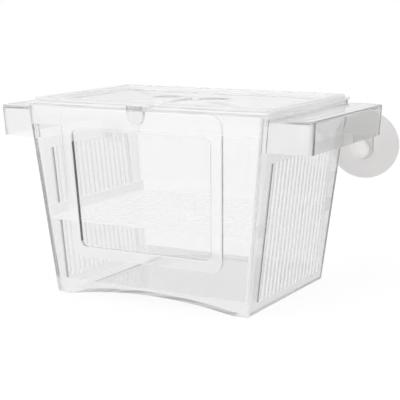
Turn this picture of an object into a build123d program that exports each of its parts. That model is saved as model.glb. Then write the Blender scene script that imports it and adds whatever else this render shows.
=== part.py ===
from build123d import *
import os

# Fish breeding box: a clear tapered tub with slotted end walls and an air-trap float
# moulded on each end, a lift-off lid, a slotted separator shelf that the taper holds
# part way down, and a suction cup in a tab under one float.
#
# Millimetres. X runs along the box, Y from front to back and Z up.
# The origin is at the height of the feet, under the middle of the tub.

# Tub: outside sizes, at the feet and at the rim
overall_length = 200.0
tub_length_base = 125.6
tub_length_rim = 150.4
tub_depth_base = 100.4
tub_depth_rim = 116.6
float_top = 108.7
rim_rise = 1.5
wall = 2.0
floor = 2.0
tub_corner = 1.5
inner_corner = 1.0
bottom_edge = 0.6

# Arch under the tub, between two flat feet
foot_length = 9.8
arch_rise = 5.0

# Floats at the two ends: closed above, open below, so that they hold air
float_setback = 6.0
float_height = 17.8
float_wall = 1.8
float_lean = 1.0
float_corner = 4.5
float_top_edge = 0.6

# Upright slots through both end walls
slot_count = 17
slot_pitch = 5.0
slot_width = 2.0
slot_low = 6.5
slot_high = 84.0

# Raised frame on the front wall, with a small catch rib on its top bar
frame_width_rim = 103.5
frame_width_low = 96.9
frame_low = 23.5
frame_proud = 2.2
frame_side_bar = 6.7
frame_low_bar = 6.5
frame_top_bar = 12.5
frame_corner = 7.0
window_corner = 3.5
frame_edge = 0.4
rib_width = 1.2
rib_low = 98.7
rib_high = 104.6
rib_proud = 0.7

# Tabs for the suction cups, hanging from the back wall of each float
tab_from_end = 12.5
tab_width = 13.4
tab_thickness = 2.0
tab_hole = 6.1
tab_hole_drop = 8.7

# Lid
lid_length = 153.8
lid_depth = 116.4
lid_seat_gap = 0.05
lid_plate = 1.5
lid_corner = 3.0
plateau_depth = 101.2
plateau_rise = 3.9
plateau_edge = 0.8
lid_border = 5.0
panel_recess = 1.9
panel_corner = 2.5
skirt_depth = 5.0
skirt_wall = 1.5
skirt_gap = 0.3
dimple_diameter = 21.0
dimple_depth = 2.4
dimple_from_middle = 15.5
bead_width = 1.2
bead_rise = 0.7
pull_width = 10.6
pull_thickness = 2.4
pull_gap = 0.3
pull_rise = 3.0

# Separator shelf
shelf_top = 45.6
shelf_thickness = 1.8
shelf_gap = 0.15
lip_height = 6.0
lip_thickness = 1.6
slit_rows = 13
slit_pitch = 7.0
slit_width = 1.6
slit_length = 48.0
slit_web = 14.0
grip_width = 5.0
grip_thickness = 1.8
grip_height = 6.4

# Suction cup
cup_diameter = 42.4
cup_reach = 15.7
cup_lip_width = 1.2
cup_hollow = 10.2
cup_hollow_floor = 12.0
cup_bulge = 1.0
collar_diameter = 12.0
collar_thickness = 1.2
head_diameter = 11.0
head_length = 7.2
head_shoulder = 2.2
nose_diameter = 6.4
neck_gap = 0.1
neck_end_play = 0.15

# Sizes that follow from those above
rim_height = float_top + rim_rise
float_depth = tub_depth_rim - 2 * float_setback
float_low = float_top - float_height
arch_span = tub_length_base - 2 * foot_length
arch_radius = ((arch_span / 2) ** 2 + arch_rise**2) / (2 * arch_rise)
arch_centre = arch_rise - arch_radius
tab_from_middle = overall_length / 2 - tab_from_end
tab_hole_height = float_low - tab_hole_drop
tab_back = float_depth / 2 - float_lean
tab_front = tab_back - tab_thickness
ball_radius = ((dimple_diameter / 2) ** 2 + dimple_depth**2) / (2 * dimple_depth)


def outer_length(z):
    """Length of the tub outside, at a height above the feet."""
    return tub_length_base + (tub_length_rim - tub_length_base) * z / rim_height


def outer_depth(z):
    """Depth of the tub outside, at a height above the feet."""
    return tub_depth_base + (tub_depth_rim - tub_depth_base) * z / rim_height


def four_sided_block(low, high, half_lengths, half_depths, corner):
    """Block with four flat sides, from its half sizes at the low and the high level."""
    with BuildPart() as block:
        for plane, halves, mode in (
            (Plane.XZ, half_lengths, Mode.ADD),
            (Plane.YZ, half_depths, Mode.INTERSECT),
        ):
            with BuildSketch(plane):
                Polygon(
                    (-halves[0], low),
                    (halves[0], low),
                    (halves[1], high),
                    (-halves[1], high),
                    align=None,
                )
            extrude(amount=overall_length, both=True, mode=mode)
        if corner > 0:
            fillet(block.edges().group_by(Axis.Z)[1], corner)
    return block.part


def tapered_block(low, high, end_inset, side_inset, corner=0.0):
    """Block whose sides are parallel to the tub's, inset from its ends and its sides."""
    half_lengths = [outer_length(z) / 2 - end_inset for z in (low, high)]
    half_depths = [outer_depth(z) / 2 - side_inset for z in (low, high)]
    return four_sided_block(low, high, half_lengths, half_depths, corner)


def float_bar(inset):
    """Outside of both floats, as one bar through the tub, or its offset by an inset."""
    top = float_top - inset
    low_lean = float_lean + inset
    top_lean = float_lean * inset / float_height + inset
    half_lengths = [overall_length / 2 - lean for lean in (low_lean, top_lean)]
    half_depths = [float_depth / 2 - lean for lean in (low_lean, top_lean)]
    return four_sided_block(float_low, top, half_lengths, half_depths, float_corner - inset)


def both_floats():
    """The two floats, hollow up to the tub's end walls and joined by a bar through it."""
    with BuildPart() as air:
        add(float_bar(float_wall))
        add(tapered_block(0, rim_height, 0, 0), mode=Mode.SUBTRACT)
    with BuildPart() as floats:
        add(float_bar(0))
        chamfer(floats.edges().group_by(Axis.Z)[-1], float_top_edge)
        add(air.part, mode=Mode.SUBTRACT)
    return floats.part


def cup_tab():
    """Round-ended tab in line with the back wall of the right-hand float."""
    with BuildPart() as tab:
        with BuildSketch(Plane.XZ.offset(-tab_back)):
            with Locations((tab_from_middle, tab_hole_height)):
                Circle(tab_width / 2)
            with Locations((tab_from_middle, (tab_hole_height + float_low + float_wall) / 2)):
                Rectangle(tab_width, float_low + float_wall - tab_hole_height)
            with Locations((tab_from_middle, tab_hole_height)):
                Circle(tab_hole / 2, mode=Mode.SUBTRACT)
        extrude(amount=tab_thickness)
    return tab.part


def frame_outline(low, high, inset):
    """Outline of the front frame, inset for its window, narrowing towards the feet."""
    lean = (frame_width_rim - frame_width_low) / 2 / (rim_height - frame_low)
    low_half = frame_width_low / 2 + lean * (low - frame_low) - inset
    high_half = frame_width_low / 2 + lean * (high - frame_low) - inset
    return [(-low_half, low), (low_half, low), (high_half, high), (-high_half, high)]


def faces_forwards(face):
    """Whether a face looks mainly towards the front, where Y is least."""
    normal = face.normal_at()
    return -normal.Y > abs(normal.X) + abs(normal.Z)


def front_frame():
    """Raised frame that follows the slope of the front wall."""
    window_low = frame_low + frame_low_bar
    window_high = rim_height - frame_top_bar
    with BuildPart() as frame:
        with BuildSketch(Plane.XZ) as outline:
            Polygon(*frame_outline(frame_low, rim_height, 0), align=None)
            fillet(outline.vertices().group_by(Axis.Z)[0], frame_corner)
        extrude(amount=tub_depth_rim)
        with BuildSketch(Plane.XZ) as window:
            Polygon(*frame_outline(window_low, window_high, frame_side_bar), align=None)
            fillet(window.vertices(), window_corner)
        extrude(amount=tub_depth_rim, mode=Mode.SUBTRACT)
        add(tapered_block(0, rim_height, -frame_proud, -frame_proud), mode=Mode.INTERSECT)
        chamfer(frame.faces().filter_by(faces_forwards).edges(), frame_edge)
    return frame.part


def catch_rib():
    """Short upright rib in the middle of the frame's top bar."""
    proud = frame_proud + rib_proud
    with BuildPart() as rib:
        with BuildSketch(Plane.XZ):
            with Locations((0, (rib_low + rib_high) / 2)):
                Rectangle(rib_width, rib_high - rib_low)
        extrude(amount=tub_depth_rim)
        add(tapered_block(0, rim_height, -proud, -proud), mode=Mode.INTERSECT)
    return rib.part


def tub_cavity():
    """Inside of the tub, down to a floor that follows the arch."""
    with BuildPart() as cavity:
        add(tapered_block(0, rim_height, wall, wall, inner_corner))
        with BuildSketch(Plane.XZ):
            with Locations((0, arch_centre)):
                Circle(arch_radius + floor)
            with Locations((0, floor / 2)):
                Rectangle(tub_length_rim, floor)
        extrude(amount=tub_depth_rim, both=True, mode=Mode.SUBTRACT)
    return cavity.part


def end_slots():
    """Cutter for the upright slots of the right-hand end wall."""
    with BuildPart() as slots:
        with BuildSketch(Plane.YZ.offset(arch_span / 2)):
            with Locations((0, (slot_low + slot_high) / 2)):
                with GridLocations(slot_pitch, 0, slot_count, 1):
                    Rectangle(slot_width, slot_high - slot_low)
        extrude(amount=tub_length_rim / 2)
    return slots.part


# Tub, with its floats, tabs and front frame, moulded in one piece
with BuildPart() as tub:
    add(tapered_block(0, rim_height, 0, 0, tub_corner))
    chamfer(tub.faces().sort_by(Axis.Z)[0].edges(), bottom_edge)
    with BuildSketch(Plane.XZ):
        with Locations((0, arch_centre)):
            Circle(arch_radius)
    extrude(amount=tub_depth_rim, both=True, mode=Mode.SUBTRACT)
    add(front_frame())
    add(catch_rib())
    # Floats, with a tab under the back wall of each
    add(both_floats())
    add(cup_tab())
    add(cup_tab().mirror(Plane.YZ))
    # Inside of the tub and the slots in its end walls
    add(tub_cavity(), mode=Mode.SUBTRACT)
    add(end_slots(), mode=Mode.SUBTRACT)
    add(end_slots().mirror(Plane.YZ), mode=Mode.SUBTRACT)

# Lid, seated on the rim with a film of air under it
lid_base = rim_height + lid_seat_gap
panel_height = lid_base + plateau_rise - panel_recess
ball_centre = panel_height - dimple_depth + ball_radius
with BuildPart() as dimple_underside:
    with Locations((0, 0, ball_centre)):
        Sphere(ball_radius + plateau_rise - panel_recess)
    split(bisect_by=Plane.XY.offset(lid_base + lid_plate / 2), keep=Keep.BOTTOM)

with BuildPart() as lid:
    with BuildSketch(Plane.XY.offset(lid_base)):
        RectangleRounded(lid_length, lid_depth, lid_corner)
    extrude(amount=lid_plate)
    with BuildSketch(Plane.XY.offset(lid_base)):
        RectangleRounded(lid_length, plateau_depth, lid_corner)
    extrude(amount=plateau_rise)
    chamfer(lid.faces().sort_by(Axis.Z)[-1].edges(), plateau_edge)
    with BuildSketch(Plane.XY.offset(lid_base + plateau_rise)):
        RectangleRounded(lid_length - 2 * lid_border, plateau_depth - 2 * lid_border, panel_corner)
    extrude(amount=-panel_recess, mode=Mode.SUBTRACT)
    # Locating skirt inside the tub's opening
    skirt_low = rim_height - skirt_depth
    skirt_inset = wall + skirt_gap
    inner_inset = skirt_inset + skirt_wall
    add(tapered_block(skirt_low, lid_base, skirt_inset, skirt_inset, inner_corner))
    add(tapered_block(skirt_low, lid_base, inner_inset, inner_inset), mode=Mode.SUBTRACT)
    # Two finger dimples
    with Locations((-dimple_from_middle, 0), (dimple_from_middle, 0)):
        add(dimple_underside.part)
    with Locations((-dimple_from_middle, 0, ball_centre), (dimple_from_middle, 0, ball_centre)):
        Sphere(ball_radius, mode=Mode.SUBTRACT)
    # Bead from the front border to the dimples
    bead_length = plateau_depth / 2 - lid_border
    with BuildSketch(Plane.XY.offset(panel_height)):
        with Locations((0, -bead_length / 2)):
            Rectangle(bead_width, bead_length)
    extrude(amount=bead_rise)
    # Pull tab, flat on top and round below, in front of the frame
    pull_back = outer_depth(rim_height) / 2 + frame_proud + pull_gap
    pull_front = pull_back + pull_thickness
    pull_top = lid_base + pull_rise
    with BuildSketch(Plane.XZ.offset(pull_back)):
        with Locations((0, pull_top - pull_width / 4)):
            Rectangle(pull_width, pull_width / 2)
        with Locations((0, pull_top - pull_width / 2)):
            Circle(pull_width / 2)
    extrude(amount=pull_thickness)
    with BuildSketch(Plane.XY.offset(lid_base)):
        with Locations((0, -(plateau_depth / 2 + pull_front) / 2)):
            Rectangle(pull_width, pull_front - plateau_depth / 2)
    extrude(amount=pull_rise)

# Separator shelf
with BuildPart() as separator_shelf:
    shelf_inset = wall + shelf_gap
    shelf_low = shelf_top - shelf_thickness
    add(tapered_block(shelf_low, shelf_top + lip_height, shelf_inset, shelf_inset, inner_corner))
    add(
        tapered_block(shelf_top, shelf_top + lip_height, shelf_inset + lip_thickness, -wall),
        mode=Mode.SUBTRACT,
    )
    with BuildSketch(Plane.XY.offset(shelf_top)):
        with GridLocations(slit_length + slit_web, slit_pitch, 2, slit_rows):
            Rectangle(slit_length, slit_width)
    extrude(amount=-shelf_thickness, mode=Mode.SUBTRACT)
    with BuildSketch(Plane.XZ.offset(-grip_thickness / 2)):
        with Locations((0, shelf_low + (grip_height + shelf_thickness) / 2)):
            Rectangle(grip_width, grip_height + shelf_thickness)
    extrude(amount=grip_thickness)

# Suction cup: turned profile about the axis of the right-hand tab's hole
cup_axis = Axis((tab_from_middle, 0, tab_hole_height), (0, 1, 0))
neck_radius = tab_hole / 2 - neck_gap
head_back = tab_front - neck_end_play
collar_front = tab_back + neck_end_play
collar_back = collar_front + collar_thickness
lip_back = tab_back + cup_reach
cup_radius = cup_diameter / 2
with BuildPart() as suction_cup:
    with BuildSketch(Plane((tab_from_middle, 0, tab_hole_height))):
        with BuildLine():
            nose = (0, head_back - head_length)
            collar_edge = (collar_diameter / 2, collar_back)
            Polyline(
                nose,
                (nose_diameter / 2, head_back - head_length),
                (head_diameter / 2, head_back - head_shoulder),
                (head_diameter / 2, head_back),
                (neck_radius, head_back),
                (neck_radius, collar_front),
                (collar_diameter / 2, collar_front),
                collar_edge,
            )
            lip_edge = (cup_radius, lip_back)
            SagittaArc(collar_edge, lip_edge, -cup_bulge)
            Polyline(
                lip_edge,
                (cup_radius - cup_lip_width, lip_back),
                (cup_hollow_floor / 2, lip_back - cup_hollow),
                (0, lip_back - cup_hollow),
                nose,
            )
        make_face()
    revolve(axis=cup_axis)

tub.part.label = "tub"
lid.part.label = "lid"
separator_shelf.part.label = "separator_shelf"
suction_cup.part.label = "suction_cup"

os.makedirs("parts", exist_ok=True)
export_step(tub.part, "parts/tub.step")
export_step(lid.part, "parts/lid.step")
export_step(separator_shelf.part, "parts/separator_shelf.step")
export_step(suction_cup.part, "parts/suction_cup.step")
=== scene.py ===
"""Looks of the fish breeding box: clear plastic, a vinyl suction cup, white studio and camera."""

import math

import bmesh
import bpy
from mathutils import Matrix, Vector

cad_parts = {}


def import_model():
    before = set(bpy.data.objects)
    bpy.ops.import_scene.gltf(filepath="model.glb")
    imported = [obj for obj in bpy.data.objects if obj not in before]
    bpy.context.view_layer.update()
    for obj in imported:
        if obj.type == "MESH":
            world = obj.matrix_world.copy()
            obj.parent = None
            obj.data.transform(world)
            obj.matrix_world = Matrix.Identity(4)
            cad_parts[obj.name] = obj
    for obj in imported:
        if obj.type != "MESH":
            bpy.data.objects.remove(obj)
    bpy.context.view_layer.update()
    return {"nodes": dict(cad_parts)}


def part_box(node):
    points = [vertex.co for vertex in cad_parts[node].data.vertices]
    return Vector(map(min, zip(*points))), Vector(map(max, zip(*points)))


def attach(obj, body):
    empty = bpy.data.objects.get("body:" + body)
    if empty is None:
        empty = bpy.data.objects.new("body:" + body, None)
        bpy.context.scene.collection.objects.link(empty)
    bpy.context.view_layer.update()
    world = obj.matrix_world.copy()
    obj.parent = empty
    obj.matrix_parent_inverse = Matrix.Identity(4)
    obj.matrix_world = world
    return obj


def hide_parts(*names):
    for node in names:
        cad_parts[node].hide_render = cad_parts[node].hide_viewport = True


# Camera: place and nearest depth in metres, angles in degrees, lens and sensor in millimetres
CAMERA_PLACE = (0.3458, -0.6174, 0.1796)
CAMERA_TURN = 28.86
CAMERA_TILT = -10.24
CAMERA_ROLL = -0.21
CAMERA_LENS = 108.95
CAMERA_SENSOR = 36.0
CAMERA_NEAREST = 0.01

# Studio: floor in metres, angles of the lamp in degrees
FLOOR_HALF = 8.0
FLOOR_COLOUR = (0.86, 0.86, 0.86, 1.0)
FLOOR_GLOW = 0.16
WORLD_COLOUR = (1.0, 1.0, 1.0, 1.0)
WORLD_LIGHT = 0.8
LAMP_STRENGTH = 0.7
LAMP_ANGLE = 60.0
LAMP_TURN = -25.0
LAMP_TILT = 25.0

# What each mirroring on a ray's way leaves of the white set, on the left and on the right,
# and where it changes: along X in metres on the floor, and in the X of the ray's direction
FLOOR_RIGHT = (0.05, 0.25)
FLOOR_MIRRORED = (0.62, 0.3)
WORLD_RIGHT = (0.0, 0.7)
WORLD_MIRRORED = (0.93, 0.8)

# A ray passes many clear walls before it leaves the box
BOUNCES = 96
SEE_THROUGH_BOUNCES = 48

# Places on the tub, in metres. A pair is the start and end of a soft step or of a span. A
# leaning wall's place is a distance from the middle at the foot, and gains the wall's lean
# with each metre of height
FRONT_WALL = 0.0502
FRONT_WALL_LEAN = 0.0735
END_WALL = 0.0628
END_WALL_LEAN = 0.1125
IN_END_WALL = (0.0611, 0.0626)
END_WALL_INSIDE = (0.0599, 0.0604)
END_WALL_OUTSIDE = (0.0626, 0.0627)
FRONT_WALL_OUTSIDE = (0.0499, 0.0501)
INSIDE_FRONT = (0.047, 0.0476)
INSIDE_END = (0.0596, 0.0602)
CORNER_BAND = 0.005
NEAR_FRONT = (FRONT_WALL - CORNER_BAND, FRONT_WALL)
NEAR_END = (END_WALL - CORNER_BAND, END_WALL)
FOOT_TOP = (0.0085, 0.0095)
FRAME_FACE = (0.0508, 0.0516)
FRAME_STEP = (0.0503, 0.0523)
WINDOW_SIDE = (0.03, 0.0475)
WINDOW_HEIGHT = (0.033, 0.091)
FRONT_SLOT = (0.038, 0.042)
OTHER_SLOTS = (-0.042, 0.0375)
RIM_BAND = (0.0985, 0.1005)
FLOAT_LOW = (0.0895, 0.0905)
FLOAT_START = (0.0632, 0.064)
FLOAT_FRONT = (0.0485, 0.0492)
SOFT_STEP = 0.0002

# Places on the lid, in metres
LID_END = (0.0725, 0.0745)
LID_SIDE = (0.049, 0.0503)
PULL_BACK = (-0.059, -0.0586)

# How clear, from 0 to 1, and how rough the plastic is in those places
CLEARNESS = 0.94
FRONT_CLEARNESS = 0.87
FRAME_CLEARNESS = 0.64
END_CLEARNESS = 0.88
CORNER_CLEARNESS = 0.5
FOOT_CLEARNESS = 0.68
SLOT_CLEARNESS = 0.35
FLOAT_FRONT_CLEARNESS = 0.7
LID_CLEARNESS = 0.82
LID_BAND_CLEARNESS = 0.5
SHELF_CLEARNESS = 0.08
ROUGHNESS = 0.02
END_ROUGHNESS = 0.15
SHELF_ROUGHNESS = 0.03

# The plastic's colours, with painted shade and painted dark reflection among them, and the shades in which
# lamps shine through it
TUB_COLOUR = (0.975, 0.977, 0.976, 1.0)
# Painted shade: the tub's floor plate is greyer, as it looks in shade
FLOOR_PLATE_PAINTED_SHADE = (0.8, 0.802, 0.801, 1.0)
# Painted shade: the outsides of the end walls are greyer below the floats, and a little less grey on the
# floats
END_WALL_PAINTED_SHADE = (0.87, 0.872, 0.871, 1.0)
FLOAT_PAINTED_SHADE = (0.93, 0.932, 0.931, 1.0)
LID_COLOUR = (0.93, 0.932, 0.931, 1.0)
LID_BAND_COLOUR = (0.99, 0.99, 0.99, 1.0)
SHELF_COLOUR = (0.998, 0.998, 0.998, 1.0)
# Painted dark reflection: near black on the frame's side steps by the window and on the first slot's
# sides, standing for dark surroundings mirrored at these edges
PAINTED_DARK_REFLECTION = (0.09, 0.09, 0.09, 1.0)
SHADE = (0.98, 0.98, 0.98, 1.0)
LID_SHADE = (0.998, 0.998, 0.998, 1.0)

# The rest of the plastic and the vinyl. Their waviness is a noise, with its scale per metre
# and its height in metres
PLASTIC_REFRACTION = 1.58
PLASTIC_WAVES = 38.0
PLASTIC_WAVE_HEIGHT = 0.00002
VINYL_COLOUR = (0.97, 0.95, 0.945, 1.0)
VINYL_ROUGHNESS = 0.4
VINYL_REFRACTION = 1.45
VINYL_WAVES = 120.0
VINYL_WAVE_HEIGHT = 0.00004
WAVE_DETAIL = 2.0

# Rounding of the moulded edges, in metres and degrees
WELD_DISTANCE = 0.000001
EDGE_ROUNDING = 0.00035
EDGE_SEGMENTS = 2
EDGE_ANGLE = 40.0
EDGE_WEIGHT = 90

# Suction cup: half section as (radius, distance behind the tab's back face), in millimetres
CUP_HEAD = [(0.0, -9.35), (3.2, -9.3), (5.1, -8.7), (5.6, -7.2), (5.6, -3.6), (4.9, -2.4)]
CUP_NECK = [(3.2, -2.25), (2.9, -2.0), (2.9, 0.0), (3.2, 0.2), (5.6, 0.25), (6.0, 0.8), (5.9, 1.3)]
CUP_DOME = [(7.6, 2.0), (11.0, 3.7), (14.6, 6.3), (17.8, 8.8), (20.2, 10.7), (21.2, 11.3)]
CUP_HOLLOW = [(20.7, 11.4), (19.0, 10.4), (15.6, 8.0), (11.4, 5.8), (6.6, 4.6), (0.0, 4.2)]
CUP_STEPS = 64
CUP_WELD = 0.01
CUP_SMOOTHING = 2

# The cup's bend, in millimetres behind the tab and in degrees, and the shift of its disc
CUP_COLLAR = 1.3
CUP_BEND_END = 7.0
CUP_LEAN_SIDEWAYS = 11.0
CUP_LEAN_UP = 5.0
CUP_SHIFT = (-1.6, 0.0, 0.0)

# How clear the cup's head and its disc are, and where that changes along Y, in metres
CUP_NECK_PLACE = (0.0485, 0.0515)
CUP_CLEARNESS = (0.22, 0.4)

MILLIMETRE = 0.001

# Sockets of Blender's Mix node for colours, which share their names with its other sockets
MIX_SHARE = 0
MIX_FIRST_COLOUR = 6
MIX_SECOND_COLOUR = 7
MIX_MIXED_COLOUR = 2


def new_material(name):
    """Empty node material, with its node tree and its output."""
    material = bpy.data.materials.new(name)
    material.use_nodes = True
    tree = material.node_tree
    tree.nodes.clear()
    return material, tree, tree.nodes.new("ShaderNodeOutputMaterial")


def coordinates(tree, kind):
    """X, Y and Z of a place, by name, in one of the kinds that Blender knows."""
    place = tree.nodes.new("ShaderNodeTexCoord")
    split = tree.nodes.new("ShaderNodeSeparateXYZ")
    tree.links.new(place.outputs[kind], split.inputs["Vector"])
    return split.outputs


def waviness(tree, scale, height):
    """Bump of a soft noise: the slight unevenness of a moulded surface."""
    place = tree.nodes.new("ShaderNodeTexCoord")
    noise = tree.nodes.new("ShaderNodeTexNoise")
    noise.inputs["Scale"].default_value = scale
    noise.inputs["Detail"].default_value = WAVE_DETAIL
    bump = tree.nodes.new("ShaderNodeBump")
    bump.inputs["Strength"].default_value = 1.0
    bump.inputs["Distance"].default_value = height
    tree.links.new(place.outputs["Object"], noise.inputs["Vector"])
    tree.links.new(noise.outputs["Fac"], bump.inputs["Height"])
    return bump.outputs["Normal"]


def calculated(tree, operation, *values):
    """What a Math node makes of sockets and plain numbers."""
    step = tree.nodes.new("ShaderNodeMath")
    step.operation = operation
    for value, socket in zip(values, step.inputs):
        if isinstance(value, float):
            socket.default_value = value
        else:
            tree.links.new(value, socket)
    return step.outputs[0]


def smallest(tree, value, *others):
    """The smallest of some values, which for masks is the place that they share."""
    for other in others:
        value = calculated(tree, "MINIMUM", value, other)
    return value


def largest(tree, value, *others):
    """The largest of some values, which for masks is the place of any of them."""
    for other in others:
        value = calculated(tree, "MAXIMUM", value, other)
    return value


def without_sign(tree, value):
    """How far a value is from 0, on either side."""
    return calculated(tree, "ABSOLUTE", value)


def leaning(tree, across, height, lean):
    """Distance from the middle, less what a leaning wall gains with its height."""
    return calculated(tree, "MULTIPLY_ADD", height, -lean, across)


def ramp(tree, value, start, end, low, high):
    """Smooth change from low to high as value goes from start to end."""
    change = tree.nodes.new("ShaderNodeMapRange")
    change.interpolation_type = "SMOOTHSTEP"
    change.inputs["From Min"].default_value = start
    change.inputs["From Max"].default_value = end
    change.inputs["To Min"].default_value = low
    change.inputs["To Max"].default_value = high
    tree.links.new(value, change.inputs["Value"])
    return change.outputs["Result"]


def past(tree, value, step):
    """Mask of where a value is past a soft step."""
    return ramp(tree, value, *step, 0.0, 1.0)


def before(tree, value, step):
    """Mask of where a value is before a soft step."""
    return ramp(tree, value, *step, 1.0, 0.0)


def between(tree, value, span):
    """Mask of where a value lies in a span."""
    start, end = span
    after_start = past(tree, value, (start, start + SOFT_STEP))
    before_end = before(tree, value, (end - SOFT_STEP, end))
    return smallest(tree, after_start, before_end)


def tinted(tree, plastic, places):
    """Gives a plastic another colour in each of some places, told by their masks."""
    colour = None
    for mask, its_colour in places:
        tint = tree.nodes.new("ShaderNodeMix")
        tint.data_type = "RGBA"
        tint.inputs[MIX_FIRST_COLOUR].default_value = plastic.inputs["Base Color"].default_value
        tint.inputs[MIX_SECOND_COLOUR].default_value = its_colour
        tree.links.new(mask, tint.inputs[MIX_SHARE])
        if colour:
            tree.links.new(colour, tint.inputs[MIX_FIRST_COLOUR])
        colour = tint.outputs[MIX_MIXED_COLOUR]
    tree.links.new(colour, plastic.inputs["Base Color"])


def mixed(tree, share, first, second):
    """The first surface where the share is 0, and the second where it is 1."""
    mix = tree.nodes.new("ShaderNodeMixShader")
    first_surface, second_surface = mix.inputs[1:]
    tree.links.new(share, mix.inputs["Fac"])
    tree.links.new(first, first_surface)
    tree.links.new(second, second_surface)
    return mix.outputs["Shader"]


def tub_places(tree, plastic):
    """The tub's milky and rough places, and its grey painted shade and dark painted reflections, by where
    they are on the moulding.
    """
    place = coordinates(tree, "Object")
    height = place["Z"]
    sideways = without_sign(tree, place["X"])
    forwards = calculated(tree, "MULTIPLY", place["Y"], -1.0)
    front = leaning(tree, forwards, height, FRONT_WALL_LEAN)
    end = leaning(tree, sideways, height, END_WALL_LEAN)
    right_end = leaning(tree, place["X"], height, END_WALL_LEAN)

    low = before(tree, height, FOOT_TOP)
    near_front = past(tree, front, NEAR_FRONT)
    foot = smallest(tree, low, largest(tree, near_front, past(tree, end, NEAR_END)))
    corner = smallest(tree, near_front, past(tree, right_end, NEAR_END))
    rim = smallest(tree, near_front, past(tree, height, RIM_BAND))
    end_wall = smallest(tree, past(tree, end, END_WALL_INSIDE), before(tree, height, FLOAT_LOW))
    in_end_wall = between(tree, end, IN_END_WALL)
    slot_side = smallest(tree, in_end_wall, between(tree, forwards, OTHER_SLOTS))
    float_front = smallest(tree, past(tree, end, FLOAT_START), past(tree, forwards, FLOAT_FRONT))
    clearness = ramp(tree, front, *FRAME_FACE, CLEARNESS, FRAME_CLEARNESS)
    for mask, its_clearness in (
        (end_wall, END_CLEARNESS),
        (largest(tree, corner, rim), CORNER_CLEARNESS),
        (foot, FOOT_CLEARNESS),
        (slot_side, SLOT_CLEARNESS),
        (float_front, FLOAT_FRONT_CLEARNESS),
        (past(tree, front, FRONT_WALL_OUTSIDE), FRONT_CLEARNESS),
    ):
        clearness = smallest(tree, clearness, ramp(tree, mask, 0.0, 1.0, CLEARNESS, its_clearness))
    tree.links.new(clearness, plastic.inputs["Transmission Weight"])
    roughness = ramp(tree, end_wall, 0.0, 1.0, ROUGHNESS, END_ROUGHNESS)
    tree.links.new(roughness, plastic.inputs["Roughness"])

    # Painted shade: the floor plate inside the walls is greyer
    floor_plate_painted_shade = smallest(tree, low, before(tree, front, INSIDE_FRONT), before(tree, end, INSIDE_END))
    behind_front = before(tree, forwards, FLOAT_FRONT)
    # Painted shade on the outsides of the end walls and of the floats, behind the floats' fronts
    painted_shade_on_ends = smallest(tree, past(tree, end, END_WALL_OUTSIDE), behind_front)
    painted_shade_on_floats = smallest(tree, painted_shade_on_ends, past(tree, height, FLOAT_LOW))
    # Painted dark reflection on the side steps of the frame round the window
    window_side_dark_reflection = smallest(
        tree,
        between(tree, front, FRAME_STEP),
        between(tree, sideways, WINDOW_SIDE),
        between(tree, height, WINDOW_HEIGHT),
    )
    # Painted dark reflection on the sides of the first slot in each end wall
    first_slot_dark_reflection = smallest(tree, in_end_wall, between(tree, forwards, FRONT_SLOT))
    places = (
        (painted_shade_on_ends, END_WALL_PAINTED_SHADE),
        (painted_shade_on_floats, FLOAT_PAINTED_SHADE),
        (floor_plate_painted_shade, FLOOR_PLATE_PAINTED_SHADE),
        (window_side_dark_reflection, PAINTED_DARK_REFLECTION),
        (first_slot_dark_reflection, PAINTED_DARK_REFLECTION),
    )
    tinted(tree, plastic, places)


def lid_places(tree, plastic):
    """The lid's outer band, milkier and whiter than its top."""
    place = coordinates(tree, "Object")
    near_ends = past(tree, without_sign(tree, place["X"]), LID_END)
    near_sides = past(tree, without_sign(tree, place["Y"]), LID_SIDE)
    behind_pull = past(tree, place["Y"], PULL_BACK)
    band = smallest(tree, largest(tree, near_ends, near_sides), behind_pull)
    clearness = ramp(tree, band, 0.0, 1.0, LID_CLEARNESS, LID_BAND_CLEARNESS)
    tree.links.new(clearness, plastic.inputs["Transmission Weight"])
    tinted(tree, plastic, ((band, LID_BAND_COLOUR),))


def clear_plastic(name, colour, shade, roughness, clearness, places=None):
    """Clear polystyrene that lets lamps through, so that its shadow is pale.

    A function in places, if there is one, gives it what changes with the place on the moulding.
    """
    material, tree, output = new_material(name)
    plastic = tree.nodes.new("ShaderNodeBsdfPrincipled")
    plastic.inputs["Base Color"].default_value = colour
    plastic.inputs["Roughness"].default_value = roughness
    plastic.inputs["IOR"].default_value = PLASTIC_REFRACTION
    plastic.inputs["Transmission Weight"].default_value = clearness
    if places:
        places(tree, plastic)
    waves = waviness(tree, PLASTIC_WAVES, PLASTIC_WAVE_HEIGHT)
    tree.links.new(waves, plastic.inputs["Normal"])
    see_through = tree.nodes.new("ShaderNodeBsdfTransparent")
    see_through.inputs["Color"].default_value = shade
    path = tree.nodes.new("ShaderNodeLightPath")
    surface = plastic.outputs["BSDF"]
    for rays in ("Is Diffuse Ray", "Is Shadow Ray"):
        surface = mixed(tree, path.outputs[rays], surface, see_through.outputs["BSDF"])
    tree.links.new(surface, output.inputs["Surface"])
    return material


def vinyl(name):
    """Soft translucent vinyl of the suction cup, its head milkier than its disc."""
    material, tree, output = new_material(name)
    soft = tree.nodes.new("ShaderNodeBsdfPrincipled")
    soft.inputs["Base Color"].default_value = VINYL_COLOUR
    soft.inputs["Roughness"].default_value = VINYL_ROUGHNESS
    soft.inputs["IOR"].default_value = VINYL_REFRACTION
    clearness = ramp(tree, coordinates(tree, "Object")["Y"], *CUP_NECK_PLACE, *CUP_CLEARNESS)
    tree.links.new(clearness, soft.inputs["Transmission Weight"])
    waves = waviness(tree, VINYL_WAVES, VINYL_WAVE_HEIGHT)
    tree.links.new(waves, soft.inputs["Normal"])
    tree.links.new(soft.outputs["BSDF"], output.inputs["Surface"])
    return material


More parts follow.
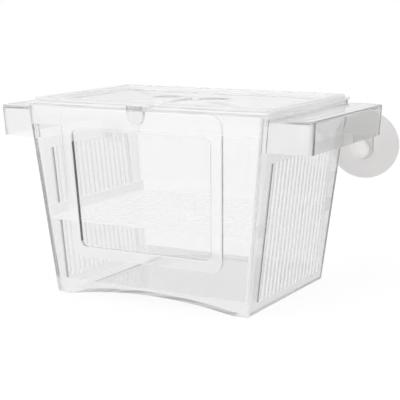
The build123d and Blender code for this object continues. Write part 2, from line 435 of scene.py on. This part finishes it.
def bent(point):
    """A point of the straight cup, moved with the disc, which leans on its soft neck."""
    collar = Vector((0.0, CUP_COLLAR, 0.0))
    share = min(max((point.y - CUP_COLLAR) / (CUP_BEND_END - CUP_COLLAR), 0.0), 1.0)
    share = share * share * (3.0 - 2.0 * share)
    turn = Matrix.Rotation(math.radians(CUP_LEAN_SIDEWAYS) * share, 3, "Z")
    lift = Matrix.Rotation(math.radians(CUP_LEAN_UP) * share, 3, "X")
    return turn @ lift @ (point - collar) + collar + Vector(CUP_SHIFT) * share


def make_cup(material):
    """Turned suction cup with a thin lip, its disc leaning as soft vinyl does."""
    low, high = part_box("suction_cup")
    tab_back = low[1] - CUP_HEAD[0][1] * MILLIMETRE
    centre = Vector(((low[0] + high[0]) / 2, tab_back, (low[2] + high[2]) / 2))
    shape = bmesh.new()
    profile = CUP_HEAD + CUP_NECK + CUP_DOME + CUP_HOLLOW
    points = [shape.verts.new((radius, along, 0.0)) for radius, along in profile]
    edges = [shape.edges.new(pair) for pair in zip(points, points[1:])]
    bmesh.ops.spin(
        shape,
        geom=points + edges,
        axis=(0.0, 1.0, 0.0),
        cent=(0.0, 0.0, 0.0),
        angle=math.tau,
        steps=CUP_STEPS,
        use_duplicate=False,
    )
    bmesh.ops.remove_doubles(shape, verts=shape.verts, dist=CUP_WELD)
    bmesh.ops.recalc_face_normals(shape, faces=shape.faces)
    for vertex in shape.verts:
        vertex.co = centre + bent(vertex.co) * MILLIMETRE
    for face in shape.faces:
        face.smooth = True
    mesh = bpy.data.meshes.new("vinyl_cup")
    shape.to_mesh(mesh)
    shape.free()
    mesh.materials.append(material)
    cup = bpy.data.objects.new("vinyl_cup", mesh)
    bpy.context.collection.objects.link(cup)
    rounding = cup.modifiers.new("rounding", "SUBSURF")
    rounding.levels = CUP_SMOOTHING
    rounding.render_levels = CUP_SMOOTHING
    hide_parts("suction_cup")
    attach(cup, "cup")


def dress(node, material):
    """Gives a CAD node its material and the small rounding that moulded edges have."""
    piece = frame["nodes"][node]
    piece.data.materials.clear()
    piece.data.materials.append(material)
    weld = piece.modifiers.new("weld", "WELD")
    weld.merge_threshold = WELD_DISTANCE
    rounding = piece.modifiers.new("rounded_edges", "BEVEL")
    rounding.width = EDGE_ROUNDING
    rounding.segments = EDGE_SEGMENTS
    rounding.limit_method = "ANGLE"
    rounding.angle_limit = math.radians(EDGE_ANGLE)
    shading = piece.modifiers.new("even_shading", "WEIGHTED_NORMAL")
    shading.mode = "FACE_AREA_WITH_ANGLE"
    shading.weight = EDGE_WEIGHT


def reflected(tree, path):
    """1 for a ray that was mirrored on its way and isn't lighting a matt surface, else 0."""
    mirrorings = calculated(tree, "SUBTRACT", path.outputs["Glossy Depth"], path.outputs["Is Diffuse Ray"])
    mirrorings.node.use_clamp = True
    return mirrorings


def mirrored_strength(tree, path, kind, right_side, shares):
    """Brightness of the white set for a ray, of which each mirroring on its way leaves a share.

    The share goes from the first of two to the second, towards the right-hand side of the set.
    """
    share = ramp(tree, coordinates(tree, kind)["X"], *right_side, *shares)
    return calculated(tree, "POWER", share, path.outputs["Glossy Depth"])


def make_floor():
    """White floor that keeps the object's shadow."""
    material, tree, output = new_material("floor")
    matt = tree.nodes.new("ShaderNodeBsdfDiffuse")
    matt.inputs["Color"].default_value = FLOOR_COLOUR
    glow = tree.nodes.new("ShaderNodeEmission")
    glow.inputs["Strength"].default_value = FLOOR_GLOW
    both = tree.nodes.new("ShaderNodeAddShader")
    tree.links.new(matt.outputs["BSDF"], both.inputs[0])
    tree.links.new(glow.outputs["Emission"], both.inputs[1])
    mirrored = tree.nodes.new("ShaderNodeEmission")
    path = tree.nodes.new("ShaderNodeLightPath")
    strength = mirrored_strength(tree, path, "Object", FLOOR_RIGHT, FLOOR_MIRRORED)
    tree.links.new(strength, mirrored.inputs["Strength"])
    surface = mixed(tree, reflected(tree, path), both.outputs["Shader"], mirrored.outputs["Emission"])
    tree.links.new(surface, output.inputs["Surface"])
    mesh = bpy.data.meshes.new("floor")
    corners = [(x * FLOOR_HALF, y * FLOOR_HALF, 0.0) for x, y in ((-1, -1), (1, -1), (1, 1), (-1, 1))]
    mesh.from_pydata(corners, [], [(0, 1, 2, 3)])
    mesh.materials.append(material)
    floor = bpy.data.objects.new("floor", mesh)
    bpy.context.collection.objects.link(floor)


def make_world():
    """White surroundings, at strength 1 where they're seen, darker in mirrors and as light."""
    world = bpy.data.worlds.new("studio")
    bpy.context.scene.world = world
    world.use_nodes = True
    tree = world.node_tree
    tree.nodes.clear()
    path = tree.nodes.new("ShaderNodeLightPath")
    sights = ("Is Camera Ray", "Is Glossy Ray", "Is Transmission Ray")
    seen = largest(tree, *(path.outputs[rays] for rays in sights))
    strength = tree.nodes.new("ShaderNodeMix")
    strength.inputs["A"].default_value = WORLD_LIGHT
    tree.links.new(seen, strength.inputs["Factor"])
    mirrored = mirrored_strength(tree, path, "Generated", WORLD_RIGHT, WORLD_MIRRORED)
    tree.links.new(mirrored, strength.inputs["B"])
    shader = tree.nodes.new("ShaderNodeBackground")
    shader.inputs["Color"].default_value = WORLD_COLOUR
    tree.links.new(strength.outputs["Result"], shader.inputs["Strength"])
    output = tree.nodes.new("ShaderNodeOutputWorld")
    tree.links.new(shader.outputs["Background"], output.inputs["Surface"])


def make_lamp():
    """Broad soft lamp overhead, as even as a sun, so that the floor stays evenly white."""
    data = bpy.data.lights.new("overhead", "SUN")
    data.energy = LAMP_STRENGTH
    data.angle = math.radians(LAMP_ANGLE)
    lamp = bpy.data.objects.new("overhead", data)
    lamp.rotation_euler = (math.radians(LAMP_TILT), 0.0, math.radians(LAMP_TURN))
    bpy.context.collection.objects.link(lamp)


def make_camera():
    """Camera at the place and angles that were fitted to the corners of the box."""
    data = bpy.data.cameras.new("camera")
    data.sensor_width = CAMERA_SENSOR
    data.lens = CAMERA_LENS
    data.clip_start = CAMERA_NEAREST
    camera = bpy.data.objects.new("camera", data)
    turn = Matrix.Rotation(math.radians(CAMERA_TURN), 4, "Z")
    tilt = Matrix.Rotation(math.radians(90.0 + CAMERA_TILT), 4, "X")
    roll = Matrix.Rotation(math.radians(CAMERA_ROLL), 4, "Z")
    camera.matrix_world = Matrix.Translation(CAMERA_PLACE) @ turn @ tilt @ roll
    bpy.context.collection.objects.link(camera)
    bpy.context.scene.camera = camera


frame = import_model()

tub_plastic = clear_plastic("tub_plastic", TUB_COLOUR, SHADE, ROUGHNESS, CLEARNESS, tub_places)
lid_plastic = clear_plastic("lid_plastic", LID_COLOUR, LID_SHADE, ROUGHNESS, LID_CLEARNESS, lid_places)
shelf_plastic = clear_plastic("shelf_plastic", SHELF_COLOUR, SHADE, SHELF_ROUGHNESS, SHELF_CLEARNESS)
dress("tub", tub_plastic)
dress("lid", lid_plastic)
dress("separator_shelf", shelf_plastic)
make_cup(vinyl("cup_vinyl"))

make_floor()
make_world()
make_lamp()
make_camera()

scene = bpy.context.scene
scene.view_settings.view_transform = "Standard"
scene.cycles.max_bounces = BOUNCES
scene.cycles.transmission_bounces = BOUNCES
scene.cycles.glossy_bounces = BOUNCES
scene.cycles.transparent_max_bounces = SEE_THROUGH_BOUNCES
scene.cycles.caustics_reflective = False
scene.cycles.caustics_refractive = False
